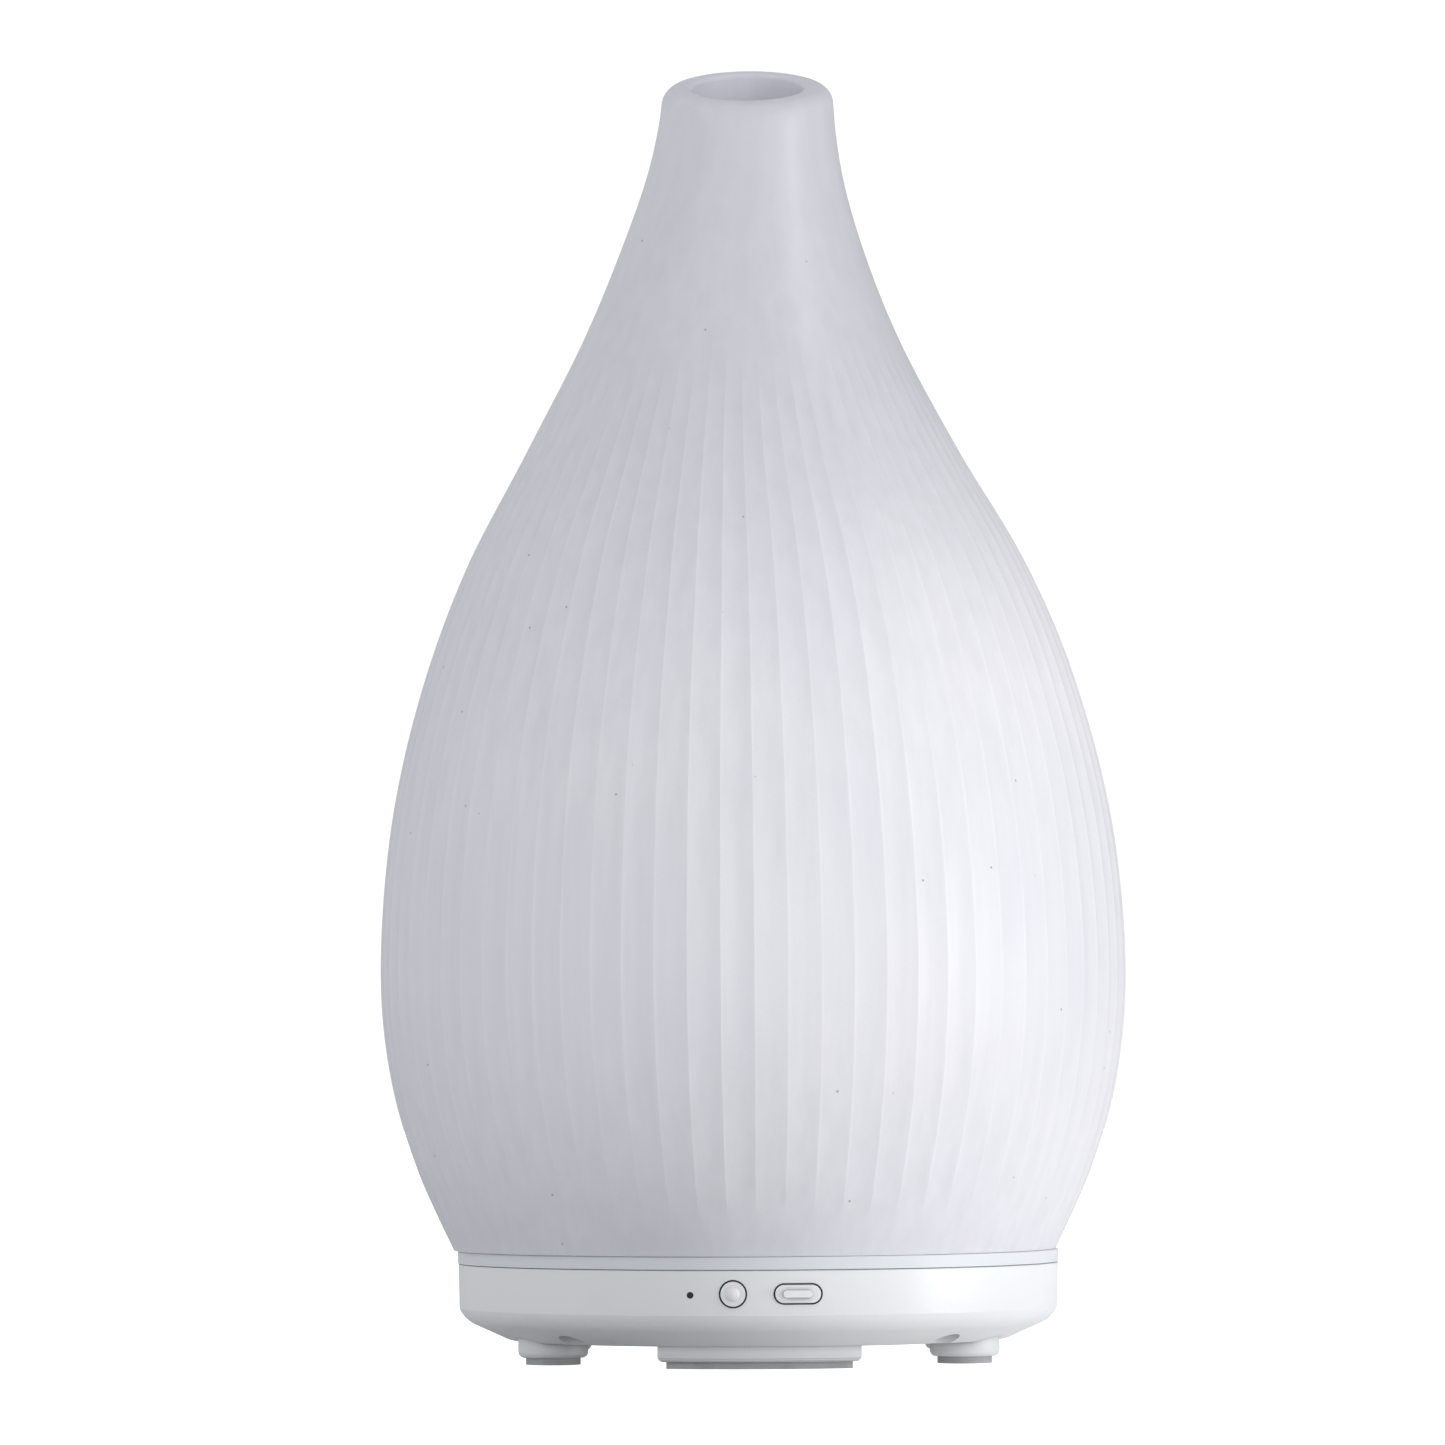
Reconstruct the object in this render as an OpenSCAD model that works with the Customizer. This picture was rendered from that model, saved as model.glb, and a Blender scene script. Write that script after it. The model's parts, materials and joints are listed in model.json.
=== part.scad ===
// Cool mist humidifier and aroma diffuser with a fluted glass cover.
// Millimetres, +Z up, origin on the floor below the centre of the base, buttons on the -Y side.

/* [Glass cover] */
// Wall of the glass over the belly
glass_wall = 2.6; // [2.2:0.1:3.2]
// Wall of the glass at the mouth, where it is thickened into a lip
lip_wall = 5.8; // [4.5:0.1:6]
// Height of the centre of the mouth above the floor
mouth_z = 233.4; // [228:0.2:234]
// How far the mouth leans towards the front, in degrees
mouth_tilt = 19; // [0:1:20]
// How far the mouth is turned to the left of straight ahead, in degrees
mouth_turn = 5; // [0:1:20]

/* [Base] */
// Radius of the base at its top edge
base_r = 54.8; // [54.2:0.1:54.8]
// Height of the top edge of the base above the floor
base_top = 17.9; // [17.8:0.05:18]
// Height of the underside of the base above the floor
base_low = 4; // [4:0.1:4.4]
// Thickness of the base's wall and floor
base_wall = 2.2; // [1.9:0.1:2.2]
// Thickness of the rubber pads under the feet
pad_t = 1.25; // [1:0.05:1.5]

/* [Tank] */
// Outer radius of the water tank
tank_r = 46; // [45.6:0.1:46.2]
// Thickness of the tank's wall
tank_wall = 2; // [1.8:0.1:2.2]
// Height of the upper face of the tank's floor
tank_floor = 38.2; // [38:0.1:39]
// Height of the tank's rim
tank_rim = 84; // [80:1:88]

/* [Buttons] */
// Height of the button centres
button_z = 13.65; // [13.4:0.05:13.7]
// Sideways place of the round mist button
mist_x = -4.7; // [-5:0.1:-4.4]
// Sideways place of the long light button
light_x = 6.8; // [6.6:0.1:7]
// Gap between a button and its hole
button_gap = 0.3; // [0.2:0.01:0.35]

/* [Hidden] */
$fn = 96;

e = 0.01;      // overlap of a cut past the face that it opens
touch = 0.02;  // play between two solids that are pressed together

ring_top = 20.2;   // height of the light ring's upper face, which the glass stands on
glass_foot = ring_top + touch;

// Outline of the glass cover from its foot to past its mouth, as [radius, height]
glass_outline = [
    [55, glass_foot], [61.7, 35], [66.5, 52], [68.2, 72], [66.0, 98], [60.0, 123],
    [51.4, 145], [39.5, 166.5], [28.2, 188.5], [20.0, 210], [16.4, 225], [15.2, 240]
];
outline_steps = 5;   // spline steps between two outline points
lip_from = 200;      // height at which the neck's wall starts to thicken

// Base
base_inner_r = base_r - base_wall - 0.2;
floor_z = base_low + base_wall;
ring_r = base_r + 0.1;
flat_r = 45.4;         // radius at which the underside turns up into the chamfer
side_foot_r = 41;      // radius of the circle of the round feet
side_foot_a = 65;      // angle of the round feet from straight ahead or straight back
foot_r = 6.35;
pad_r = 4.95;
foot_fillet = 1.1;
// The bar feet are plates whose outer side is cut to a round front
bar_size = [36.4, 12.5];
bar_y = 41.25;
bar_corner = 3;
bar_front_r = 45.5;
pad_inset = 1.6;
screw_r = 46.6;        // radius of the circle of the four case screws
screw_angles = [45, 135, 225, 315];
screw_head_r = 2.5;
screw_seat = 7.8;      // height of the seat of the case screws' heads
recess_r = 2.9;

// Deck stack, from the tank's flange up to the light ring
flange_top = base_top;
flange_low = flange_top - 1.6;
flange_in = 41;
flange_out = 50.1;
gasket_t = 0.5;
skirt_low = 16.4;      // lowest edge of the light ring, above the buttons' flanges

// Piezo stack under the tank's floor
tank_floor_low = tank_floor - 2.2;
seal_low = tank_floor_low - 3;
clamp_low = seal_low - 1.2;
clamp_screw_r = 17.5;

// Air riser and fan
riser_y = 32;
riser_r = 8;
riser_bore = 6.4;
riser_top = 77;
fan_y = 21.5;
fan_half = 15;
fan_low = floor_z + 1;
fan_h = 7;
fan_top = fan_low + fan_h;
fan_hole = 12.3;       // half the spacing of the fan's corner holes
hub_r = 7.5;
blades = 7;

// Buttons: the caps follow the wall's curve, and their flanges stop inside it
cap_face_r = base_r + 0.2;
cap_bump_r = cap_face_r + 0.65;
cap_back = 49.9;       // distance of the caps' rear faces from the centre
flange_face_r = base_inner_r - 0.4;
mist_cap_r = 2.2;
light_cap = [8.1, 3.2];
board_y = -45.8;       // front face of the control board
switch_t = 3;
switch_w = 4.5;
plunger_r = 1.2;

// DC jack
jack_z = 12.5;
jack_front = 54;
jack_body = [9, 12, 7.4];
jack_bore = 3.05;
jack_pin_r = 1;
jack_tail = 38.2;

// Main board
board = [50, 34, 1.6];
board_at = [0, -19, 11];
board_posts = [22, 14];
board_top = board_at[2] + board[2];
connector_top = board_top + 5;

// A curve through points, with n steps between two of them
function catmull(a, b, c, d, t) =
    0.5 * (2 * b + (c - a) * t + (2 * a - 5 * b + 4 * c - d) * t * t + (3 * b - a - 3 * c + d) * t * t * t);
function spline(p, n) = [
    for (i = [0 : len(p) - 2], j = [0 : n - 1])
        catmull(p[max(i - 1, 0)], p[i], p[i + 1], p[min(i + 2, len(p) - 1)], j / n),
    p[len(p) - 1]
];
// A quadratic curve from a to c that leans towards b
function bend(a, b, c, n) = [
    for (i = [0 : n]) let (t = i / n) (1 - t) * (1 - t) * a + 2 * t * (1 - t) * b + t * t * c
];
function arc(centre, r, from, to, n) = [
    for (i = [0 : n]) let (a = from + (to - from) * i / n) centre + r * [cos(a), sin(a)]
];
function reversed(p) = [for (i = [len(p) - 1 : -1 : 0]) p[i]];
function smooth(t) = let (u = min(max(t, 0), 1)) u * u * (3 - 2 * u);

// The inside of a shell whose outside is p, with a wall that may change with height
function wall_at(z) = glass_wall + (lip_wall - glass_wall) * smooth((z - lip_from) / (mouth_z - lip_from));
function inset(p) = [
    for (i = [0 : len(p) - 1])
        let (d = p[min(i + 1, len(p) - 1)] - p[max(i - 1, 0)], n = [-d[1], d[0]] / norm(d))
        p[i] + n * wall_at(p[i][1])
];

module ring(r_out, r_in, z0, z1) {
    translate([0, 0, z0]) difference() {
        cylinder(r = r_out, h = z1 - z0);
        translate([0, 0, -1]) cylinder(r = r_in, h = z1 - z0 + 2);
    }
}

module post(x, y, r, z0, z1) {
    translate([x, y, z0]) cylinder(r = r, h = z1 - z0);
}

// A block given by its lowest corner and its highest
module block(low, high) {
    translate(low) cube(high - low);
}

// A cylinder along Y, from y0 back to y1
module rod(x, z, r, y0, y1) {
    translate([x, y0, z]) rotate([-90, 0, 0]) cylinder(r = r, h = y1 - y0);
}

// A slot shape along Y, size[0] wide and size[1] high, with round ends
module pill_y(x, z, size, y0, y1) {
    r = size[1] / 2;
    reach = size[0] / 2 - r;
    rod(x - reach, z, r, y0, y1);
    rod(x + reach, z, r, y0, y1);
    block([x - reach, y0, z - r], [x + reach, y1, z + r]);
}

module rounded_plate(size, corner, z0, z1) {
    translate([0, 0, z0]) linear_extrude(z1 - z0) {
        square([size[0] - 2 * corner, size[1]], center = true);
        square([size[0], size[1] - 2 * corner], center = true);
        for (x = [-1, 1], y = [-1, 1])
            translate([x * (size[0] / 2 - corner), y * (size[1] / 2 - corner)]) circle(corner);
    }
}

module at_board_corners() {
    for (x = [-1, 1], y = [-1, 1])
        translate([board_at[0] + x * board_posts[0], board_at[1] + y * board_posts[1], 0]) children();
}

module at_case_screws() {
    for (a = screw_angles) rotate([0, 0, a]) translate([screw_r, 0, 0]) children();
}

// way is -1 for the round feet in front and 1 for those behind
module at_side_foot(side, way) {
    translate([side * side_foot_r * sin(side_foot_a), way * side_foot_r * cos(side_foot_a), 0]) children();
}

module at_fan_corners() {
    for (x = [-1, 1], y = [-1, 1]) translate([x * fan_hole, fan_y + y * fan_hole, 0]) children();
}

// A pan head screw whose head's bearing face is at z0, pointing up (way 1) or down (way -1)
module screw(head_r, head_h, shank_r, shank_h, way) {
    mirror([0, 0, way < 0 ? 1 : 0]) difference() {
        union() {
            translate([0, 0, -head_h]) cylinder(r1 = head_r * 0.8, r2 = head_r, h = head_h * 0.4);
            translate([0, 0, -head_h * 0.6]) cylinder(r = head_r, h = head_h * 0.6);
            cylinder(r = shank_r, h = shank_h);
        }
        for (a = [0, 90]) rotate([0, 0, a])
            block([-head_r * 0.55, -head_r * 0.12, -head_h - 1],
                [head_r * 0.55, head_r * 0.12, -head_h * 0.45]);
    }
}

// A wire along straight runs, with a small bead at each bend
module wire(points, r) {
    for (i = [0 : len(points) - 2]) {
        a = points[i];
        d = points[i + 1] - a;
        translate(a) rotate([0, acos(d[2] / norm(d)), atan2(d[1], d[0])])
            cylinder(r = r, h = norm(d), $fn = 24);
    }
    for (i = [1 : len(points) - 2]) translate(points[i]) sphere(r = r * 1.15, $fn = 24);
}

// ---- Cover, hood and tank ----

module glass_cover() {
    outer = spline(glass_outline, outline_steps);
    inner = inset(outer);
    color("aliceblue") difference() {
        rotate_extrude() polygon(concat(
            [for (p = outer) [p[0], max(p[1], glass_foot)]],
            [for (p = reversed(inner)) [p[0], max(p[1], glass_foot)]]
        ));
        // the mouth's plane
        translate([0, 0, mouth_z]) rotate([0, 0, -mouth_turn]) rotate([mouth_tilt, 0, 0])
            translate([-60, -60, 0]) cube([120, 120, 60]);
    }
}

module inner_hood() {
    skirt_in = tank_r + 0.6;
    skirt_out = skirt_in + 1.6;
    seat = tank_rim + touch;
    skirt_foot = tank_rim - 8;
    shoulder = seat + 3;
    tube_in = 7.4;
    tube_out = 9;
    neck_z = seat + 26;
    top_z = seat + 37.7;
    tube_low = 70;
    color("whitesmoke") rotate_extrude() polygon(concat(
        [[skirt_out, skirt_foot]],
        bend([skirt_out, shoulder], [skirt_out - 2, shoulder + 12], [28, shoulder + 16], 10),
        bend([26, shoulder + 16.6], [tube_out + 1, shoulder + 20], [tube_out, neck_z + 4], 8),
        arc([tube_out - 0.8, top_z - 0.8], 0.8, 0, 180, 8),
        [[tube_in, tube_low], [tube_out - 0.4, tube_low]],
        bend([tube_out - 0.2, neck_z - 4], [tube_out + 1, shoulder + 18], [26, shoulder + 14.8], 8),
        bend([28, shoulder + 14.2], [skirt_out - 4.4, shoulder + 10.4], [skirt_out - 1.8, shoulder], 10),
        [[skirt_out - 1.8, seat + 1.6], [tank_r - 4.4, seat + 1.6], [tank_r - 4.4, seat], [skirt_in, seat],
         [skirt_in, skirt_foot]]
    ));
}

module water_tank() {
    wall_in = tank_r - tank_wall;
    boss_low = 9.4;
    color("white") difference() {
        union() {
            ring(flange_out, flange_in, flange_low, flange_top);
            rotate_extrude() polygon(concat(
                [[wall_in, flange_low + 0.4], [tank_r, flange_low + 0.4]],
                arc([tank_r - 0.8, tank_rim - 0.8], 0.8, 0, 90, 6),
                arc([wall_in + 0.8, tank_rim - 0.8], 0.8, 90, 180, 6)
            ));
            post(0, 0, wall_in + 0.5, tank_floor_low, tank_floor);
            ring(wall_in + 0.5, wall_in - 0.4, 65.7, 66.3);
            at_case_screws() post(0, 0, 3.3, boss_low, flange_low + 0.4);
            for (a = [90, 210, 330]) rotate([0, 0, a - 60])
                post(clamp_screw_r, 0, 2.6, seal_low + touch, tank_floor_low + 0.4);
            post(0, riser_y, riser_r, tank_floor_low - 3.4, riser_top);
        }
        // piezo hole with a shallow well around it
        post(0, 0, 8.2, tank_floor_low - 1, tank_floor + 1);
        translate([0, 0, tank_floor - 1.2]) cylinder(r1 = 8.2, r2 = 14, h = 1.2 + e);
        // air riser, open below and to the middle of the tank near its top
        post(0, riser_y, riser_bore, tank_floor_low - 4, riser_top - 1.5);
        block([-4.5, riser_y - 9, riser_top - 9.5], [4.5, riser_y, riser_top - 2]);
        at_case_screws() post(0, 0, 1.4, boss_low - 1, flange_low - 0.6);
        for (a = [90, 210, 330]) rotate([0, 0, a - 60])
            post(clamp_screw_r, 0, 0.9, seal_low - 1, tank_floor_low + 0.6);
    }
}

module light_ring() {
    lip = 22.4;
    color("lavender") rotate_extrude() polygon(concat(
        [[46.4, flange_top + gasket_t], [flange_out + 0.2, flange_top + gasket_t],
         [flange_out + 0.2, skirt_low], [base_inner_r - 0.2, skirt_low],
         [base_inner_r - 0.2, base_top + touch], [ring_r, base_top + touch]],
        arc([ring_r - 0.25, ring_top - 0.25], 0.25, 0, 90, 3),
        [[51.3, ring_top]],
        arc([50.8, lip - 0.5], 0.5, 0, 90, 4),
        arc([49.9, lip - 0.5], 0.5, 90, 180, 4),
        [[49.4, ring_top], [46.4, ring_top]]
    ));
}

module ring_gasket() {
    color("gainsboro") ring(flange_out - 0.1, 46.4, flange_top, flange_top + gasket_t);
}

// ---- Base ----

module base_profile() {
    polygon(concat(
        [[0, base_low], [flat_r, base_low]],
        bend([flat_r + 0.4, base_low + 0.1], [flat_r + 0.7, base_low + 0.2],
            [flat_r + 1.2, base_low + 0.45], 2),
        bend([51.9, 6.85], [54, 7.9], [base_r - 0.15, 9.8], 8),
        arc([base_r - 0.3, base_top - 0.3], 0.3, 0, 90, 4),
        [[base_inner_r, base_top], [base_inner_r - 0.2, 10.6]],
        bend([base_inner_r - 0.2, 10.6], [51.6, 9], [49.8, 8.3], 5),
        [[44.8, floor_z], [0, floor_z]]
    ));
}

// The inside of the base down to the middle of its wall, which its bosses stay within
module base_room() {
    mid_r = base_r - 1.2;
    rotate_extrude() polygon([
        [0, base_low + 1], [flat_r - 0.4, base_low + 1], [46.6, 5.9], [51.4, 7.9],
        [mid_r, 9.9], [mid_r, base_top], [0, base_top]
    ]);
}

module foot(size_r) {
    fillet = foot_fillet;
    rotate_extrude() polygon(concat(
        [[0, pad_t], [size_r - fillet, pad_t]],
        arc([size_r - fillet, pad_t + fillet], fillet, -90, 0, 6),
        [[size_r, floor_z], [0, floor_z]]
    ));
}

// The front bar foot's outline drawn in by inset, between two heights
module bar_plate(inset, z0, z1) {
    intersection() {
        translate([0, -bar_y, 0])
            rounded_plate(bar_size - 2 * [inset, inset], bar_corner - inset, z0, z1);
        post(0, 0, bar_front_r - inset, z0 - 1, z1 + 1);
    }
}

module bar_foot() {
    // its lower edge is rounded in steps
    steps = 4;
    for (i = [0 : steps - 1])
        bar_plate(foot_fillet * (1 - sin(90 * (i + 0.5) / steps)),
            pad_t + foot_fillet * (1 - cos(90 * i / steps)), floor_z);
}

module base_shell() {
    boss_top = 9.3;
    color("white") difference() {
        union() {
            rotate_extrude() base_profile();
            for (side = [-1, 1], way = [-1, 1]) at_side_foot(side, way) foot(foot_r);
            bar_foot();
            mirror([0, 1, 0]) bar_foot();
            intersection() {
                at_case_screws() post(0, 0, 5, floor_z - 1, boss_top);
                base_room();
            }
            at_board_corners() post(0, 0, 2.4, floor_z - e, board_at[2]);
            at_fan_corners() post(0, 0, 2.2, floor_z - e, fan_low);
            // slotted posts that hold the control board's ends
            for (x = [-21.4, 16.2]) intersection() {
                difference() {
                    block([x, board_y - 1.6, floor_z - 1], [x + 2.8, board_y + 3, 15.4]);
                    block([x > 0 ? x - 1 : x + 0.8, board_y - 0.1, 8.5],
                        [x > 0 ? x + 2 : x + 4, board_y + 1.3, 17]);
                }
                base_room();
            }
        }
        // case screws
        at_case_screws() {
            post(0, 0, recess_r, -1, screw_seat);
            post(0, 0, 1.7, 0, boss_top + 1);
        }
        // button, indicator and jack holes
        rod(mist_x, button_z, mist_cap_r + button_gap, -60, -45);
        pill_y(light_x, button_z, light_cap + 2 * [button_gap, button_gap], -60, -45);
        rod(-12.25, 13.45, 0.6, -60, -45);
        rod(0, jack_z, 3.7, 50, 60);
        block([-4.7, 45, 8.6], [4.7, 51.8, 17]);
        // pilot holes of the board's and the fan's screws
        at_board_corners() post(0, 0, 0.97, 6.6, board_at[2] + 1);
        at_fan_corners() post(0, 0, 0.97, 5, fan_low + 1);
        // air inlet slots below the fan
        for (i = [-3 : 3]) {
            reach = sqrt(12.5 * 12.5 - 9 * i * i * 1.4);
            block([i * 3.5 - 0.9, fan_y - reach, base_low - 1], [i * 3.5 + 0.9, fan_y + reach, floor_z + 1]);
        }
    }
}

module front_foot_pad() {
    color("darkgray") bar_plate(pad_inset, 0, pad_t);
}

module rear_foot_pad() {
    mirror([0, 1, 0]) front_foot_pad();
}

module side_foot_pad(side, way) {
    color("darkgray") at_side_foot(side, way) post(0, 0, pad_r, 0, pad_t);
}

module case_screws() {
    color("silver") at_case_screws() translate([0, 0, screw_seat]) screw(screw_head_r, 1.8, 1.38, 7.2, 1);
}

// ---- Buttons ----

// A button from its cap, its flange and the raised mark on its face, each cut to the wall's curve
module button() {
    intersection() {
        children(0);
        post(0, 0, cap_face_r, 0, 30);
    }
    intersection() {
        children(1);
        post(0, 0, flange_face_r, 0, 15.95);
    }
    intersection() {
        children(2);
        post(0, 0, cap_bump_r, 0, 30);
    }
}

module mist_button() {
    color("white") button() {
        rod(mist_x, button_z, mist_cap_r, -60, -cap_back);
        rod(mist_x, button_z, 2.9, -60, -cap_back);
        translate([mist_x, 1.3 - sqrt(cap_face_r * cap_face_r - mist_x * mist_x), button_z]) sphere(r = 1.85);
    }
}

module light_button() {
    rib = [5.2, 1.3];
    color("white") button() {
        pill_y(light_x, button_z, light_cap, -60, -cap_back);
        pill_y(light_x, button_z, light_cap + [1.3, 1.2], -60, -cap_back);
        pill_y(light_x, button_z, rib, -60, -cap_back);
    }
}

module plunger(x) {
    color("dimgray") rod(x, button_z, plunger_r, -cap_back, -cap_back + 1.9);
}

module tact_switch(x) {
    half = switch_w / 2;
    color("black") difference() {
        block([x - half, board_y - switch_t, button_z - half], [x + half, board_y, button_z + half]);
        rod(x, button_z, plunger_r + 0.1, board_y - switch_t - 1, board_y - 0.6);
    }
}

module indicator_lens() {
    color("darkslategray") {
        rod(-12.25, 13.45, 0.55, -52.6, -49.5);
        rod(-12.25, 13.45, 1.3, -49.6, board_y - 1.1);
    }
}

module indicator_led() {
    color("lightyellow") block([-13.05, board_y - 0.9, 12.85], [-11.45, board_y, 14.05]);
}

module control_board() {
    color("seagreen") block([-19.8, board_y, 8.7], [17, board_y + 1.2, 16]);
}

module control_ribbon() {
    start = board_y + 1.2 + touch;
    color("lightgray") for (i = [0 : 5]) {
        x = 1.3 * i - 3.2;
        wire([[x, start, 11.4], [x, start + 3.8, 11.4], [x, start + 5.8, 13.8],
              [x, -35.4 - touch, 13.8]], 0.5);
    }
}

// ---- Main board ----

module main_board() {
    color("seagreen") difference() {
        translate(board_at + [-board[0] / 2, -board[1] / 2, 0]) cube(board);
        at_board_corners() post(0, 0, 1.2, 10, 14);
    }
}

module board_components() {
    color("dimgray") {
        // two capacitors and a transistor can
        post(-12, -24, 5, board_top, board_top + 9);
        post(2, -24, 4, board_top, board_top + 11);
        post(12, -27, 2.5, board_top, board_top + 6);
        // controller chip
        block([-6, -14, board_top], [4, -8, board_top + 1.6]);
        // connectors for the fan, the piezo disc, the jack and the ribbon
        block([-19, -12, board_top], [-13, -6, connector_top]);
        block([7, -12, board_top], [13, -6, connector_top]);
        block([-22, -23, board_top], [-18, -16, connector_top]);
        block([-5, -35.4, board_top], [5, -32, board_top + 2.6]);
        for (i = [0 : 5]) block([-17 + 3 * i, -17.4, board_top], [-15.4 + 3 * i, -16.4, board_top + 0.7]);
    }
}

module heat_sink() {
    color("silver") {
        block([10, -21, board_top], [23, -19.4, board_top + 12]);
        for (i = [0 : 4]) block([10 + 2.9 * i, -19.5, board_top], [11.3 + 2.9 * i, -14, board_top + 12]);
        block([13, -23.4, board_top + 2], [20, -21, board_top + 10]);
    }
}

module board_screws() {
    color("silver") at_board_corners() translate([0, 0, board_top]) screw(1.9, 1.2, 0.95, 5.4, -1);
}

// ---- Piezo ----

module piezo_disc() {
    color("gold") post(0, 0, 10, seal_low + 1.05, seal_low + 2.15);
}

module piezo_seal() {
    color("lightgray") {
        ring(12.3, 8.6, seal_low, seal_low + 1);
        ring(12.3, 10.05, seal_low + 1 - e, seal_low + 2.2 + e);
        ring(12.3, 8.6, seal_low + 2.2, tank_floor_low);
    }
}

module piezo_clamp() {
    color("silver") difference() {
        post(0, 0, 20, clamp_low, seal_low);
        post(0, 0, 6, clamp_low - 1, seal_low + 1);
        for (a = [90, 210, 330]) rotate([0, 0, a - 60])
            post(clamp_screw_r, 0, 1.2, clamp_low - 1, seal_low + 1);
    }
}

module piezo_screws() {
    color("silver") for (a = [90, 210, 330]) rotate([0, 0, a - 60])
        translate([clamp_screw_r, 0, clamp_low]) screw(2, 1.3, 0.88, 4, 1);
}

module piezo_leads() {
    for (x = [-1, 1]) color(x > 0 ? "firebrick" : "black")
        wire([[10 + x, -9, connector_top + touch], [10 + x, -9, 24], [x * 2.6, 0, 28.5],
              [x * 2.6, 0, seal_low + 1.05 - touch]], 0.6);
}

// ---- Fan ----

module fan_frame() {
    color("black") translate([0, fan_y, 0]) difference() {
        union() {
            difference() {
                rounded_plate([2 * fan_half, 2 * fan_half], 3, fan_low, fan_top);
                post(0, 0, 14, fan_low - 1, fan_top + 1);
            }
            post(0, 0, 6.8, fan_low, fan_low + 1);
            for (a = [30, 150, 270]) rotate([0, 0, a]) block([5, -1, fan_low], [14.4, 1, fan_low + 1]);
            post(0, 0, 2.5, fan_low, fan_low + 5);
        }
        post(0, 0, 1.77, fan_low + 0.6, fan_low + 6);
        for (x = [-1, 1], y = [-1, 1]) post(x * fan_hole, y * fan_hole, 1.3, fan_low - 1, fan_top + 1);
    }
}

module fan_bearing() {
    color("darkgoldenrod") translate([0, fan_y, 0]) ring(1.75, 1.05, fan_low + 0.6, fan_low + 5);
}

module fan_stator() {
    color("peru") translate([0, fan_y, 0]) {
        ring(3.2, 2.52, fan_low + 1.4, fan_low + 4.6);
        for (a = [0 : 90 : 270]) rotate([0, 0, a]) block([3, -1.4, fan_low + 1.6], [5.4, 1.4, fan_low + 4.4]);
    }
}

module fan_rotor() {
    color("dimgray") translate([0, fan_y, 0]) {
        difference() {
            post(0, 0, hub_r, fan_low + 1.5, fan_top - 0.5);
            post(0, 0, 6.62, fan_low, fan_top - 1.3);
            post(0, 0, 1, fan_low, fan_top);
        }
        for (i = [0 : blades - 1]) rotate([0, 0, i * 360 / blades]) intersection() {
            translate([(hub_r + 13.4) / 2, 0, fan_low + 3.9]) rotate([38, 0, 0])
                cube([8, 7.4, 0.8], center = true);
            ring(13.5, hub_r - 0.4, fan_low + 1.6, fan_top - 0.6);
        }
    }
}

module fan_magnet() {
    color("slategray") translate([0, fan_y, 0]) ring(6.6, 5.8, fan_low + 1.8, fan_top - 1.4);
}

module fan_shaft() {
    color("silver") translate([0, fan_y, 0]) post(0, 0, 0.98, fan_low + 0.8, fan_top - 0.5);
}

module fan_screws() {
    color("silver") at_fan_corners() translate([0, 0, fan_top]) screw(1.9, 1.2, 0.95, 8.8, -1);
}

module fan_leads() {
    for (i = [0, 1]) color(i > 0 ? "firebrick" : "black") {
        y = 14 + 1.8 * i;
        x = -18 - 1.8 * i;
        wire([[-fan_half - touch, y, 10], [x, y, 10], [x + 3, -2 - 0.2 * i, 15.6],
              [x + 3, -6 + touch, 15.6]], 0.6);
    }
}

module air_duct() {
    low = fan_top + 0.1;
    high = tank_floor_low - 3.5;
    color("whitesmoke") difference() {
        union() {
            hull($fn = 32) {
                post(0, fan_y, 15, low, low + 1);
                post(0, riser_y, riser_r + 1.6, high - 2, high);
            }
            post(0, riser_y, riser_r + 1.6, high - 1, high + 2.4);
        }
        hull($fn = 32) {
            post(0, fan_y, 13.6, low - e, low + 0.4);
            post(0, riser_y, riser_bore, high - 2, high - 1.4);
        }
        post(0, riser_y, riser_bore, high - 2, high + 1);
        post(0, riser_y, riser_r + 0.1, high + e, high + 3);
    }
}

// ---- Power and light ----

module dc_jack() {
    back = jack_front - 2.4;
    low = jack_z - jack_body[2] / 2;
    color("black") difference() {
        union() {
            block([-jack_body[0] / 2, back - jack_body[1], low],
                [jack_body[0] / 2, back, low + jack_body[2]]);
            rod(0, jack_z, 3.5, back - 0.1, jack_front);
        }
        rod(0, jack_z, jack_bore, 44, jack_front + 1);
        rod(0, jack_z, 1.52, 41.5, 45);
        block([-1, 42, jack_z - 3.35], [1, 52, jack_z - 2.4]);
        block([-1, 39, jack_z - 3.35], [1, 42.1, jack_z - 2.4]);
        rod(0, jack_z, 0.62, 39, 42);
    }
}

module jack_pin() {
    color("silver") {
        rod(0, jack_z, 0.6, jack_tail, 42);
        rod(0, jack_z, 1.5, 41.5, 44);
        rod(0, jack_z, jack_pin_r, 44 - e, 52.2);
        translate([0, 52.2, jack_z]) sphere(r = jack_pin_r);
    }
}

module jack_contact() {
    color("silver") {
        block([-0.9, jack_tail, jack_z - 3.25], [0.9, 50.5, jack_z - 2.75]);
        block([-0.9, 46.5, jack_z - 2.8], [0.9, 49.5, jack_z - 2.5]);
    }
}

module jack_leads() {
    for (i = [0, 1]) color(i > 0 ? "firebrick" : "black") {
        z = jack_z - 3 + 3 * i;
        landing = [-22 - touch, -20.6 + 3.4 * i, 14.2 + 2 * i];
        wire([[0.6, jack_tail - 0.58, z], [-22, 36.9, z - 0.3], [-26.6, -1.3, z + 0.4],
              landing - [4.6, 0, 0], landing], 0.55);
    }
}

module led_board() {
    color("white") rotate([0, 0, 135]) rotate_extrude(angle = 270)
        translate([36.5, flange_top]) square([7.2, 1.2]);
}

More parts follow.
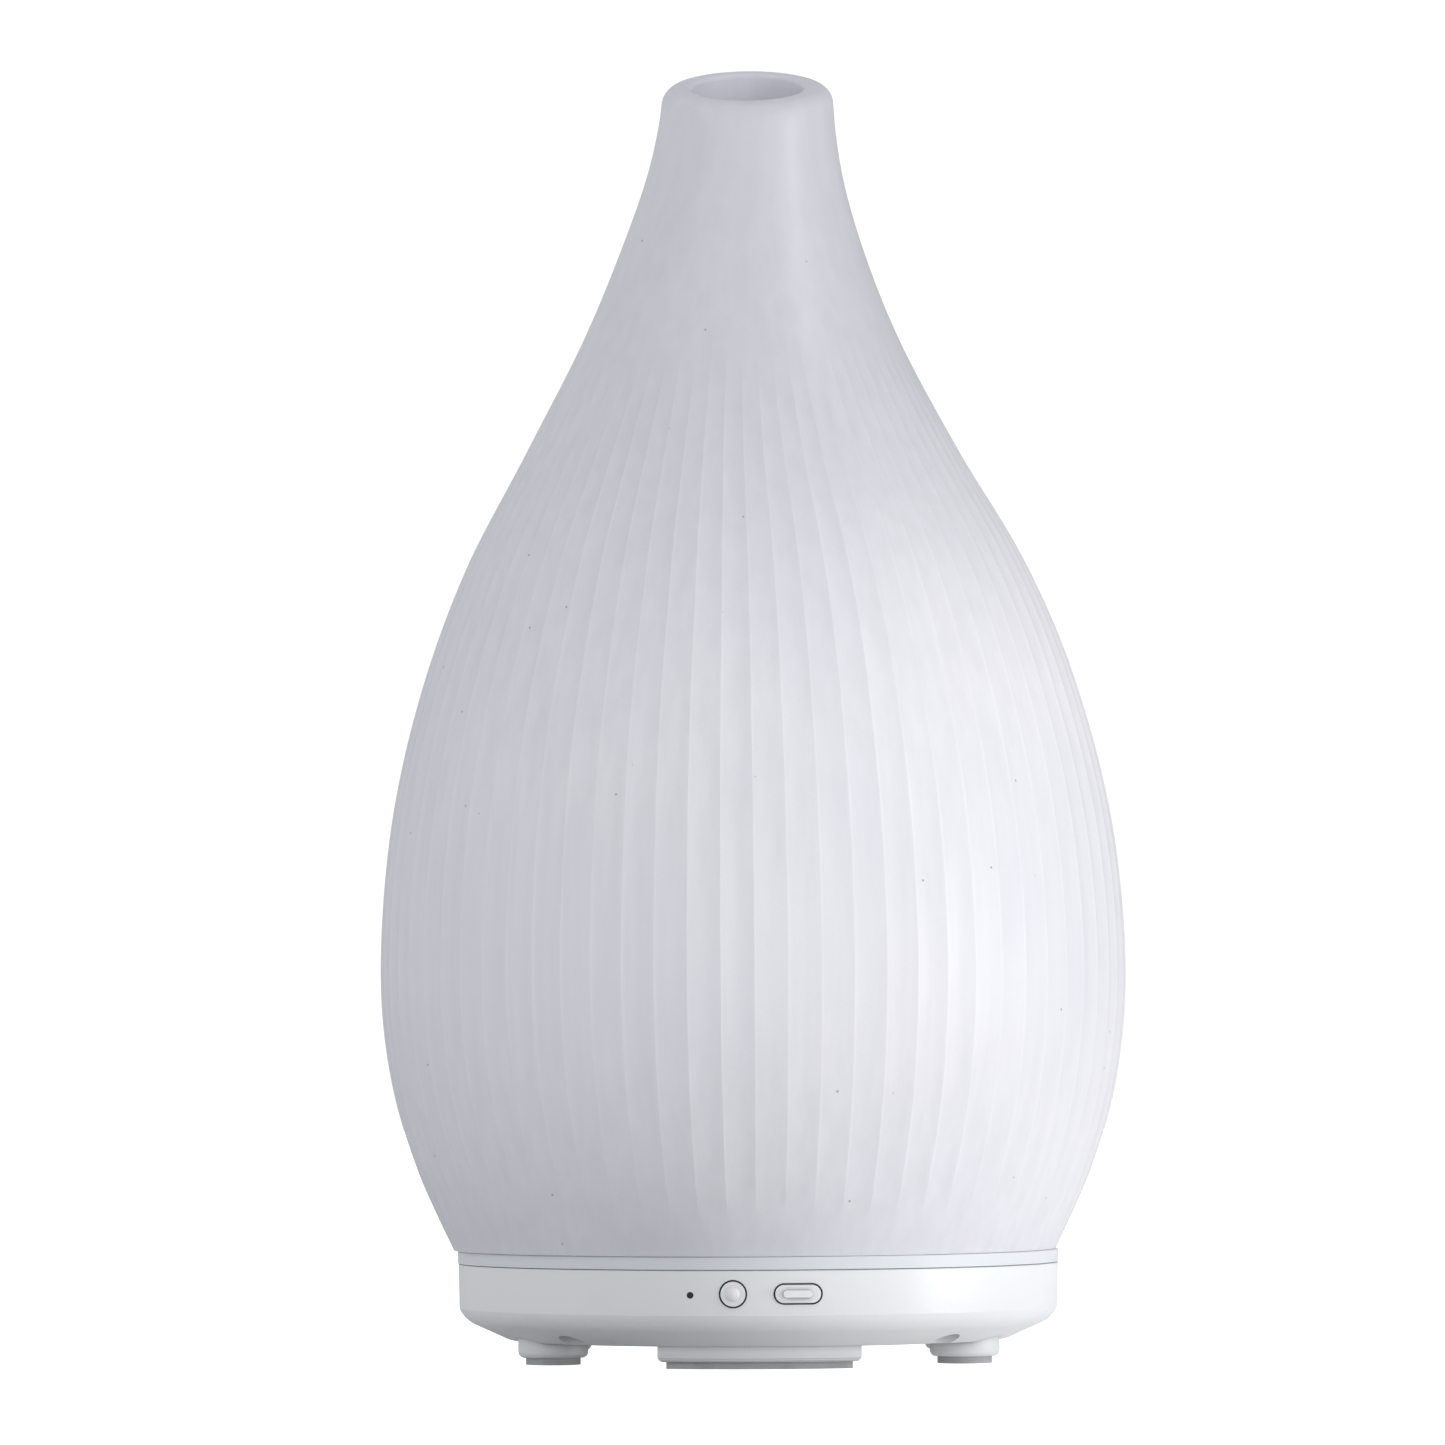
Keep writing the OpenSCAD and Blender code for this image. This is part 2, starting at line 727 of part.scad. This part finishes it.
module leds() {
    color("lightyellow") for (i = [0 : 8]) rotate([0, 0, 145 + i * 31.25])
        block([38.4, -1.4, flange_top + 1.2], [41.9, 1.4, flange_top + 3.1]);
}

glass_cover();
inner_hood();
water_tank();
light_ring();
ring_gasket();
base_shell();
front_foot_pad();
rear_foot_pad();
side_foot_pad(-1, -1);  // left_foot_pad
side_foot_pad(1, -1);  // right_foot_pad
side_foot_pad(-1, 1);  // rear_left_foot_pad
side_foot_pad(1, 1);  // rear_right_foot_pad
case_screws();
mist_button();
plunger(mist_x);  // mist_plunger
tact_switch(mist_x);  // mist_switch
light_button();
plunger(light_x);  // light_plunger
tact_switch(light_x);  // light_switch
indicator_lens();
indicator_led();
control_board();
control_ribbon();
main_board();
board_components();
heat_sink();
board_screws();
piezo_disc();
piezo_seal();
piezo_clamp();
piezo_screws();
piezo_leads();
fan_frame();
fan_bearing();
fan_stator();
fan_rotor();
fan_magnet();
fan_shaft();
fan_screws();
fan_leads();
air_duct();
dc_jack();
jack_pin();
jack_contact();
jack_leads();
led_board();
leds();
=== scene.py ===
import json
import math
import random

import bpy
import numpy as np
from mathutils import Matrix, Vector


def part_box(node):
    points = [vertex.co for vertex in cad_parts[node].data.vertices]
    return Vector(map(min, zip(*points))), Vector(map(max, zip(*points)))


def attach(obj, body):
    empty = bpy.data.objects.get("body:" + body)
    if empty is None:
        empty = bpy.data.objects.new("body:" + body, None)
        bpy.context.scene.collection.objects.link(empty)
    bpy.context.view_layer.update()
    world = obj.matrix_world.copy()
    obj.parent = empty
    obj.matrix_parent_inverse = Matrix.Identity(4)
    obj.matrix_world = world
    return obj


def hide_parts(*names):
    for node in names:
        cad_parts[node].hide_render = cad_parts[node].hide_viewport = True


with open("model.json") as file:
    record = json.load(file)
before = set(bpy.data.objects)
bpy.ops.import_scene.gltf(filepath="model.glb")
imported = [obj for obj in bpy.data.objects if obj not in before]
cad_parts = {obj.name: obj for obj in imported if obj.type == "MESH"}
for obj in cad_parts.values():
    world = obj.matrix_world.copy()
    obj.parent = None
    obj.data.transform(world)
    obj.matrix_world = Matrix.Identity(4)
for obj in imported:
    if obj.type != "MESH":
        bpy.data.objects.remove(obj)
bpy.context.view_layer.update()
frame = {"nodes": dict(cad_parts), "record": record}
nodes = frame["nodes"]
MM = 0.001
rng = random.Random(7)

# ---------------------------------------------------------------- camera

CAMERA_AT = Vector((-0.0061, -1.5, 0.0577))
CAMERA_AIM = Vector((-0.0061, 0.0, 0.1166))
ROLL = math.radians(0.25)
LENS = 204.0

cam_data = bpy.data.cameras.new("camera")
cam_data.sensor_width = 36.0
cam_data.lens = LENS
cam_data.clip_start = 0.05
cam = bpy.data.objects.new("camera", cam_data)
bpy.context.scene.collection.objects.link(cam)
turn = (CAMERA_AIM - CAMERA_AT).to_track_quat("-Z", "Y").to_matrix()
cam.matrix_world = Matrix.Translation(CAMERA_AT) @ (turn @ Matrix.Rotation(-ROLL, 3, "Z")).to_4x4()
bpy.context.scene.camera = cam
bpy.context.scene.view_settings.view_transform = "Standard"

# ---------------------------------------------------------------- materials


class Graph:
    """A short way to build one node material."""

    def __init__(self, name):
        self.mat = bpy.data.materials.new(name)
        self.mat.use_nodes = True
        self.tree = self.mat.node_tree
        self.shader = self.tree.nodes["Principled BSDF"]
        self.coord = self.node("ShaderNodeTexCoord").outputs["Object"]

    def node(self, kind, **values):
        n = self.tree.nodes.new(kind)
        for k, v in values.items():
            setattr(n, k, v)
        return n

    def join(self, a, b):
        self.tree.links.new(a, b)

    def put(self, **values):
        for k, v in values.items():
            self.shader.inputs[k.replace("_", " ")].default_value = v

    def noise(self, scale, detail=3.0, rough=0.5, stretch=None, seed=0.0):
        where = self.coord
        if stretch or seed:
            m = self.node("ShaderNodeMapping")
            m.inputs["Scale"].default_value = stretch or (1, 1, 1)
            m.inputs["Location"].default_value = (seed, seed * 0.7, seed * 1.3)
            self.join(where, m.inputs["Vector"])
            where = m.outputs["Vector"]
        n = self.node("ShaderNodeTexNoise")
        n.inputs["Scale"].default_value = scale
        n.inputs["Detail"].default_value = detail
        n.inputs["Roughness"].default_value = rough
        self.join(where, n.inputs["Vector"])
        return n.outputs["Fac"]

    def ramp(self, fac, stops, smooth=False):
        """stops are (position, colour or grey)."""
        r = self.node("ShaderNodeValToRGB")
        r.color_ramp.interpolation = "EASE" if smooth else "LINEAR"
        while len(r.color_ramp.elements) < len(stops):
            r.color_ramp.elements.new(0.5)
        for e, (at, c) in zip(r.color_ramp.elements, stops):
            e.position = at
            e.color = (c, c, c, 1) if isinstance(c, (int, float)) else (*c, 1)
        self.join(fac, r.inputs["Fac"])
        return r.outputs["Color"]

    def math(self, op, a, b):
        m = self.node("ShaderNodeMath", operation=op)
        for i, v in enumerate((a, b)):
            if isinstance(v, (int, float)):
                m.inputs[i].default_value = v
            else:
                self.join(v, m.inputs[i])
        return m.outputs["Value"]

    def range(self, fac, low, high, a=0.3, b=0.7):
        """fac from a..b to low..high."""
        m = self.node("ShaderNodeMapRange")
        for key, v in (("From Min", a), ("From Max", b), ("To Min", low), ("To Max", high)):
            m.inputs[key].default_value = v
        self.join(fac, m.inputs["Value"])
        return m.outputs["Result"]

    def mix(self, fac, a, b, blend="MIX"):
        m = self.node("ShaderNodeMix", data_type="RGBA", blend_type=blend)
        for i, v in ((0, fac), (6, a), (7, b)):
            if isinstance(v, (int, float)):
                m.inputs[i].default_value = v
            elif isinstance(v, tuple):
                m.inputs[i].default_value = (*v, 1)
            else:
                self.join(v, m.inputs[i])
        return m.outputs[2]

    def mark(self, name):
        """How strongly the mesh is marked with name."""
        return self.node("ShaderNodeAttribute", attribute_name=name).outputs["Fac"]

    def colour(self, socket):
        self.join(socket, self.shader.inputs["Base Color"])

    def rough(self, socket):
        self.join(socket, self.shader.inputs["Roughness"])

    def bump(self, height, distance, strength=1.0):
        b = self.node("ShaderNodeBump")
        b.inputs["Strength"].default_value = strength
        b.inputs["Distance"].default_value = distance
        self.join(height, b.inputs["Height"])
        if self.shader.inputs["Normal"].is_linked:
            self.join(self.shader.inputs["Normal"].links[0].from_socket, b.inputs["Normal"])
        self.join(b.outputs["Normal"], self.shader.inputs["Normal"])


def glass_material():
    g = Graph("frosted_glass")
    g.put(IOR=1.5, Transmission_Weight=0.22, Specular_IOR_Level=0.3, Coat_Roughness=0.3)
    tone = g.ramp(g.noise(18, 2), [(0.3, (0.822, 0.812, 0.885)), (0.7, (0.882, 0.866, 0.925))])
    streak = g.noise(60, 3, stretch=(1, 1, 0.05), seed=3.0)
    tone = g.mix(g.range(streak, 0.0, 0.35), tone, (0.922, 0.9, 0.95))
    fine = g.noise(420, 3, stretch=(1, 1, 0.03), seed=9.0)
    tone = g.mix(g.range(fine, 0.0, 0.45), tone, (0.775, 0.77, 0.82))
    # painted highlight: thin lighter lines along the rib ridges, stronger in some places than others
    line = g.math("POWER", g.mark("crest_highlight"), 4.0)
    crest_highlight = g.math("MULTIPLY", line, g.range(g.noise(35, 2, seed=4.0), 0.05, 0.5))
    tone = g.mix(crest_highlight, tone, (0.99, 0.98, 1.0))
    # painted light: the inside of the mouth is painted lighter towards the rim, against the shade in the
    # bore
    tone = g.mix(g.mark("inside"), tone, (0.97, 0.965, 0.985))
    seeds = g.node("ShaderNodeTexVoronoi")
    seeds.inputs["Scale"].default_value = 250
    g.join(g.coord, seeds.inputs["Vector"])
    speck = g.ramp(seeds.outputs["Distance"], [(0.035, 1.0), (0.07, 0.0)])
    rare = g.ramp(seeds.outputs["Color"], [(0.72, 0.0), (0.73, 1.0)])
    g.colour(g.mix(g.math("MULTIPLY", speck, rare), tone, (0.36, 0.36, 0.38)))
    g.join(g.math("MULTIPLY", g.mark("neck"), 0.5), g.shader.inputs["Coat Weight"])
    g.rough(g.range(g.noise(140, 4), 0.36, 0.5))
    g.bump(g.noise(1500, 3), 0.00004, 0.35)
    g.bump(g.noise(90, 2, stretch=(1, 1, 0.12)), 0.0003, 0.25)
    return g.mat


def plastic_material(name, colour, rough=0.4, subsurface=0.08, painted_gap_shade=0.0):
    """The last argument sets how dark narrow gaps and seams are painted: painted shade from an ambient
    occlusion node, where light can't reach.
    """
    g = Graph(name)
    g.put(IOR=1.48, Subsurface_Weight=subsurface, Subsurface_Scale=0.002)
    dark = tuple(c * 0.965 for c in colour)
    tone = g.ramp(g.noise(26, 3), [(0.3, dark), (0.7, colour)])
    scuff = g.noise(420, 4, 0.65, stretch=(1, 1, 0.3), seed=5.0)
    tone = g.mix(g.range(scuff, 0.0, 0.25, 0.55, 0.8), tone, tuple(c * 0.93 for c in colour))
    if painted_gap_shade:
        # painted shade: narrow gaps and seams are darkened where ambient occlusion finds them shut in
        gap_occlusion = g.node("ShaderNodeAmbientOcclusion", samples=4)
        gap_occlusion.inputs["Distance"].default_value = 0.0012
        tone = g.mix(g.range(gap_occlusion.outputs["AO"], painted_gap_shade, 0.0, 0.2, 0.85), tone, (0.02, 0.015, 0.013))
    g.colour(tone)
    g.rough(g.range(g.noise(70, 5, 0.6), rough - 0.06, rough + 0.09))
    g.bump(g.noise(2200, 2), 0.00003, 0.4)
    g.bump(g.noise(34, 2), 0.0004, 0.08)
    return g.mat


def rubber_material():
    g = Graph("foot_rubber")
    g.put(IOR=1.5, Sheen_Weight=0.15, Sheen_Roughness=0.5)
    g.colour(g.ramp(g.noise(300, 4), [(0.3, (0.40, 0.40, 0.41)), (0.7, (0.50, 0.50, 0.51))]))
    g.rough(g.range(g.noise(500, 3), 0.6, 0.8))
    g.bump(g.noise(1800, 3), 0.00008, 0.5)
    return g.mat


def metal_material(name, colour, rough=0.3, stretch=(1, 1, 1)):
    g = Graph(name)
    g.put(Metallic=1.0)
    g.colour(g.ramp(g.noise(150, 4), [(0.3, tuple(c * 0.85 for c in colour)), (0.7, colour)]))
    g.rough(g.range(g.noise(700, 4, stretch=stretch), rough - 0.08, rough + 0.12))
    g.bump(g.noise(2500, 3, stretch=stretch), 0.00002, 0.3)
    return g.mat


WHITE = (0.80, 0.805, 0.815)
MATERIALS = {
    "ribbed_glass": glass_material(),
    # white plastic and buttons get painted shade in their narrow gaps
    "white_plastic": plastic_material("white_plastic", WHITE, 0.38, painted_gap_shade=1.0),
    "tank_plastic": plastic_material("tank_plastic", (0.74, 0.745, 0.755), 0.4, subsurface=0.15),
    "hood_plastic": plastic_material("hood_plastic", (0.76, 0.775, 0.79), 0.35, subsurface=0.15),
    "ring_plastic": plastic_material("ring_plastic", (0.70, 0.718, 0.75), 0.5, subsurface=0.15),
    "button_plastic": plastic_material("button_plastic", (0.83, 0.83, 0.84), 0.3, painted_gap_shade=1.0),
    "foot_rubber": rubber_material(),
    "seal_silicone": plastic_material("seal_silicone", (0.70, 0.71, 0.72), 0.5),
    "black_plastic": plastic_material("black_plastic", (0.025, 0.025, 0.028), 0.45, subsurface=0),
    "lens_plastic": plastic_material("lens_plastic", (0.02, 0.02, 0.024), 0.2, subsurface=0),
    "steel": metal_material("steel", (0.62, 0.62, 0.63)),
    "contact_metal": metal_material("contact_metal", (0.75, 0.73, 0.68), 0.22),
    "bronze": metal_material("bronze", (0.55, 0.38, 0.18)),
    "copper_winding": metal_material("copper_winding", (0.72, 0.36, 0.16), 0.3, (1, 1, 8)),
    "magnet_ferrite": plastic_material("magnet_ferrite", (0.06, 0.06, 0.065), 0.6, subsurface=0),
    "sink_aluminium": metal_material("sink_aluminium", (0.75, 0.75, 0.76), 0.35, (1, 12, 1)),
    "board_green": plastic_material("board_green", (0.03, 0.20, 0.09), 0.35, subsurface=0),
    "board_white": plastic_material("board_white", (0.82, 0.82, 0.80), 0.4),
    "component_plastic": plastic_material("component_plastic", (0.05, 0.05, 0.055), 0.5, subsurface=0),
    "led_resin": plastic_material("led_resin", (0.85, 0.75, 0.35), 0.25),
    "disc_metal": metal_material("disc_metal", (0.72, 0.6, 0.35), 0.3),
    "wire_pvc": plastic_material("wire_pvc", (0.35, 0.03, 0.03), 0.4, subsurface=0),
    "ribbon_pvc": plastic_material("ribbon_pvc", (0.5, 0.51, 0.53), 0.45, subsurface=0),
}

for part in frame["record"]["subparts"]:
    skin = nodes[part["node"]].data
    skin.materials.clear()
    skin.materials.append(MATERIALS[part["material_slot"]])

# ---------------------------------------------------------------- glass cover

RIBS = 72
PER_RIB = 6
RIB_DEPTH = 0.2 * MM
MOUTH_Z = 233.6 * MM
MOUTH_TILT = math.radians(19)
MOUTH_TURN = math.radians(1)
FOOT_R = 0.25 * MM
# the lip: its place on the wall, how far and how deep its outside is rounded, and its inner edge
LIP_R = 15.2 * MM
LIP_ROUND = (3.2 * MM, 3.4 * MM)
EDGE_R = 0.8 * MM
EDGE_AT = 10 * MM
# how much the bore widens towards the mouth, and over what depth
FLARE = 0.4 * MM
FLARE_DEPTH = 12 * MM
# below this height the rows of the mesh are level, above it they lean with the mouth
LEVEL_TO = 185 * MM
# rows in each stretch of the cover's section
FOOT_STEPS = 4
WALL_STEPS = 120
LIP_STEPS = 8
EDGE_STEPS = 5
INNER_STEPS = 50
# heights in mm between which the ribs begin, and those between which they end
RIBS_BEGIN = (24, 33)
RIBS_END = (164, 190)
# how far the blown glass strays to its left, [distance, height] in mm
STRAY = [
    (-0.6, 20), (-0.6, 40), (-0.67, 58), (-0.7, 77), (-0.8, 95), (-0.98, 113), (-1.2, 132), (-1.65, 150),
    (-2.23, 168), (-2.35, 187), (-2.07, 205), (-1.3, 223), (-1.0, 232), (-1.1, 242),
]
# outline of the cover, [radius, height] in mm, the same as the CAD cover's
OUTLINE = [
    (55, 20.22), (61.7, 35), (66.5, 52), (68.2, 72), (66.0, 98), (60.0, 123),
    (51.4, 145), (39.5, 166.5), (28.2, 188.5), (20.0, 210), (16.4, 225), (15.2, 240),
]
GLASS_WALL = 2.6
LIP_WALL = 5.8
LIP_FROM = 200.0


def catmull(points, steps):
    out = []
    last = len(points) - 1
    for i in range(last):
        a, b, c, d = (np.array(points[k], float) for k in (max(i - 1, 0), i, i + 1, min(i + 2, last)))
        for j in range(steps):
            t = j / steps
            out.append(0.5 * (2 * b + (c - a) * t + (2 * a - 5 * b + 4 * c - d) * t * t
                              + (3 * b - a - 3 * c + d) * t ** 3))
    out.append(np.array(points[last], float))
    return np.array(out)


def smooth(t):
    t = np.clip(t, 0, 1)
    return t * t * (3 - 2 * t)


def between(z, begin, end):
    """1 at the heights z between two fades, each given as its lower and higher height in mm."""
    rise = smooth((z / MM - begin[0]) / (begin[1] - begin[0]))
    return rise * smooth((end[1] - z / MM) / (end[1] - end[0]))


outer = catmull(OUTLINE, 40)
stray = catmull(STRAY, 10)
slope = np.gradient(outer, axis=0)
normal = np.stack([-slope[:, 1], slope[:, 0]], 1) / np.linalg.norm(slope, axis=1)[:, None]
wall = GLASS_WALL + (LIP_WALL - GLASS_WALL) * smooth((outer[:, 1] - LIP_FROM) / (MOUTH_Z / MM - LIP_FROM))
inner = outer + normal * wall[:, None]


def radius_at(curve, z):
    """Radius in metres at the heights z, in metres."""
    order = np.argsort(curve[:, 1])
    return np.interp(np.asarray(z) / MM, curve[order, 1], curve[order, 0]) * MM


def mesh_piece(name, verts, faces, material, body, sharp=None):
    mesh = bpy.data.meshes.new(name)
    mesh.from_pydata([tuple(v) for v in verts], [], faces)
    mesh.validate()
    mesh.polygons.foreach_set("use_smooth", [True] * len(mesh.polygons))
    if sharp is not None:
        flags = [bool(sharp(*e.vertices)) for e in mesh.edges]
        mesh.attributes.new("sharp_edge", "BOOLEAN", "EDGE").data.foreach_set("value", flags)
    mesh.update()
    obj = bpy.data.objects.new(name, mesh)
    bpy.context.scene.collection.objects.link(obj)
    mesh.materials.append(material)
    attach(obj, body)
    return obj


def glass_cover():
    across = RIBS * PER_RIB
    theta = np.arange(across) * 2 * math.pi / across
    rib = np.arange(across) // PER_RIB
    u = (np.arange(across) % PER_RIB) / PER_RIB
    depth = np.array([RIB_DEPTH * rng.uniform(0.75, 1.25) for _ in range(RIBS)])
    groove = depth[rib] * (1 - (2 * u - 1) ** 2)
    high = math.pi / 2 - MOUTH_TURN
    lean = math.tan(MOUTH_TILT) * np.cos(theta - high)
    foot_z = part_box("glass_cover")[0].z

    def plane(r):
        return MOUTH_Z + lean * r

    def leaning(z0, lowest, rim, flat_rim):
        """The level height z0, leant to meet the rim."""
        return z0 + (rim - flat_rim) * smooth((z0 - lowest) / (flat_rim - lowest))

    rows = []
    # rounded foot, outwards and up
    foot_out = radius_at(outer, foot_z + FOOT_R)
    for k in range(FOOT_STEPS + 1):
        a = math.pi / 2 * k / FOOT_STEPS
        rows.append((np.full(across, foot_out - FOOT_R + FOOT_R * math.sin(a)),
                     np.full(across, foot_z + FOOT_R - FOOT_R * math.cos(a))))
    # outside wall
    lip_a, lip_b = LIP_ROUND
    top = plane(LIP_R) - lip_b
    flat_top = float(np.mean(top))
    for k in range(1, WALL_STEPS + 1):
        z0 = foot_z + FOOT_R + (flat_top - foot_z - FOOT_R) * k / WALL_STEPS
        z = leaning(z0, LEVEL_TO, top, flat_top)
        rows.append((radius_at(outer, z) - groove * between(z, RIBS_BEGIN, RIBS_END), z))
    # lip: outer quarter round, flat, small inner round
    lip_out = rows[-1][0]
    lip_in = radius_at(inner, plane(EDGE_AT) - EDGE_R) + FLARE
    for k in range(1, LIP_STEPS + 1):
        a = math.pi / 2 * k / LIP_STEPS
        r = lip_out - lip_a * (1 - math.cos(a))
        rows.append((r, plane(r) - lip_b * (1 - math.sin(a))))
    for k in range(EDGE_STEPS + 1):
        a = math.pi / 2 * k / EDGE_STEPS
        r = lip_in + EDGE_R * (1 - math.sin(a))
        rows.append((r, plane(r) - EDGE_R * (1 - math.cos(a))))
    # inside wall, down to the foot
    top_in = rows[-1][1]
    flat_in = float(np.mean(top_in))
    for k in range(1, INNER_STEPS + 1):
        z0 = flat_in + (foot_z - flat_in) * k / INNER_STEPS
        z = leaning(z0, LEVEL_TO, top_in, flat_in)
        flare = smooth((z0 - flat_in + FLARE_DEPTH) / FLARE_DEPTH)
        rows.append((radius_at(inner, z) + FLARE * flare, z))
    verts = []
    for r, z in rows:
        verts += list(zip(r * np.cos(theta) + radius_at(stray, z), r * np.sin(theta), z))
    faces = []
    n = len(rows)
    for i in range(n):
        j = (i + 1) % n
        for a in range(across):
            b = (a + 1) % across
            faces.append((i * across + a, i * across + b, j * across + b, j * across + a))
    first = FOOT_STEPS + 1
    last = first + WALL_STEPS
    bore = last + LIP_STEPS + EDGE_STEPS + 1

    def sharp(a, b):
        ra, rb = a // across, b // across
        along_crest = a % across == b % across and a % PER_RIB == 0
        return (along_crest and first <= min(ra, rb) and max(ra, rb) < last
                and 26 * MM < verts[a][2] < 180 * MM)

    obj = mesh_piece(
        "ribbed_glass", verts, faces, MATERIALS["ribbed_glass"], "cover", sharp)
    # where the material paints a highlight along each rib's ridge, where it paints the inside of the mouth
    # lighter against its shade, and the smoother neck
    height = np.array(verts)[:, 2]
    row = np.arange(len(verts)) // across
    column = np.arange(len(verts)) % across
    outside = (row >= first) & (row < last)
    marks = {
        "crest_highlight": (column % PER_RIB == 0) * outside * between(height, (26, 35), (160, 186)),
        # painted light inside the mouth, fading in above 200 mm
        "inside": (row > bore) * smooth((height / MM - 200) / 26) * 0.3,
        "neck": outside * smooth((height / MM - 150) / 45),
    }
    for name, value in marks.items():
        obj.data.attributes.new(name, "FLOAT", "POINT").data.foreach_set("value", value.astype(np.float32))
    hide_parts("glass_cover")
    return obj


glass_cover()

# ---------------------------------------------------------------- stage and light


def area(name, at, aim, size, power, spread, colour=(1, 1, 1)):
    data = bpy.data.lights.new(name, "AREA")
    data.color = colour
    data.shape = "RECTANGLE"
    data.size, data.size_y = size
    data.energy = power
    data.spread = math.radians(spread)
    light = bpy.data.objects.new(name, data)
    bpy.context.scene.collection.objects.link(light)
    light.location = at
    light.visible_camera = False
    light.rotation_euler = (Vector(aim) - Vector(at)).to_track_quat("-Z", "Y").to_euler()


WARM = (0.975, 1.0, 0.91)

# softboxes: one on the right and a weak one in front, for the glass up to its shoulder, a low one for
# the base, and a high one for the neck
area("key", (0.58, -0.155, 0.092), (0, 0, 0.092), (0.34, 0.12), 0.038, 10, WARM)
area("front_fill", (0.09, -0.6, 0.092), (0, 0, 0.092), (0.34, 0.12), 0.018, 10, WARM)
area("low_key", (0.585, -0.13, 0.006), (0, 0, 0.014), (0.34, 0.03), 0.015, 8)
area("strip", (0.61, -0.35, 0.62), (0, 0, 0.21), (0.1, 0.7), 0.62, 120)

# A soft studio, dimmer from above, plain white behind
world = bpy.data.worlds.new("studio")
bpy.context.scene.world = world
world.use_nodes = True
wt = world.node_tree


def world_math(op, a, b):
    m = wt.nodes.new("ShaderNodeMath")
    m.operation = op
    for i, v in enumerate((a, b)):
        if isinstance(v, (int, float)):
            m.inputs[i].default_value = v
        else:
            wt.links.new(v, m.inputs[i])
    return m.outputs["Value"]


where = wt.nodes.new("ShaderNodeTexCoord")
axes = wt.nodes.new("ShaderNodeSeparateXYZ")
wt.links.new(where.outputs["Generated"], axes.inputs[0])
path = wt.nodes.new("ShaderNodeLightPath")
up = world_math("MAXIMUM", axes.outputs["Z"], 0.0)
level = world_math("ADD", world_math("MULTIPLY", up, -0.64), 1.15)
# mirrored light is weaker, as if most of the room were dark cloth
weaker = world_math("ADD", world_math("MULTIPLY", path.outputs["Is Glossy Ray"], -0.35), 1.0)
level = world_math("MULTIPLY", level, weaker)
# and it is dimmer behind, on the right
aside = world_math("MULTIPLY", axes.outputs["X"], 0.8)
behind = world_math("ADD", aside, world_math("MULTIPLY", axes.outputs["Y"], 0.6))
dimmer = world_math("ADD", world_math("MULTIPLY", world_math("MAXIMUM", behind, 0.0), -0.48), 1.0)
left = world_math("MULTIPLY", world_math("MINIMUM", axes.outputs["X"], 0.0), -0.08)
level = world_math("MULTIPLY", level, world_math("ADD", dimmer, left))
lit = wt.nodes["Background"]
lit.inputs["Color"].default_value = (0.955, 0.97, 1.0, 1)
wt.links.new(level, lit.inputs["Strength"])
seen = wt.nodes.new("ShaderNodeBackground")
seen.inputs["Color"].default_value = (1, 1, 1, 1)
seen.inputs["Strength"].default_value = 1.05
pick = wt.nodes.new("ShaderNodeMixShader")
wt.links.new(path.outputs["Is Camera Ray"], pick.inputs[0])
wt.links.new(lit.outputs[0], pick.inputs[1])
wt.links.new(seen.outputs[0], pick.inputs[2])
wt.links.new(pick.outputs[0], wt.nodes["World Output"].inputs["Surface"])

bpy.ops.mesh.primitive_plane_add(size=8, location=(0, 0, 0))
floor = bpy.context.object
floor.name = "floor"
f = Graph("floor")
f.put(Roughness=0.7)
# painted shade: the floor's colour is darker just before the base, on the left, so it throws back less
# light from there
painted_shade_spot = f.node("ShaderNodeVectorMath", operation="DISTANCE")
f.join(f.coord, painted_shade_spot.inputs[0])
painted_shade_spot.inputs[1].default_value = (-0.025, -0.08, 0)
f.colour(f.range(painted_shade_spot.outputs["Value"], 0.42, 0.76, 0.015, 0.07))
f.shader.inputs["Emission Color"].default_value = (1, 1, 1, 1)
# plain white to look at; to all other rays the floor glows as painted light thrown back, brighter below
# the right side, where the key falls on it
seen_from = f.node("ShaderNodeLightPath").outputs["Is Camera Ray"]
floor_axes = f.node("ShaderNodeSeparateXYZ")
f.join(f.coord, floor_axes.inputs[0])
painted_bounce_glow = f.range(floor_axes.outputs["X"], 0.0, 0.38, -0.05, 0.1)
f.join(f.mix(seen_from, painted_bounce_glow, (1.0, 1.0, 1.0)), f.shader.inputs["Emission Strength"])
floor.data.materials.append(f.mat)
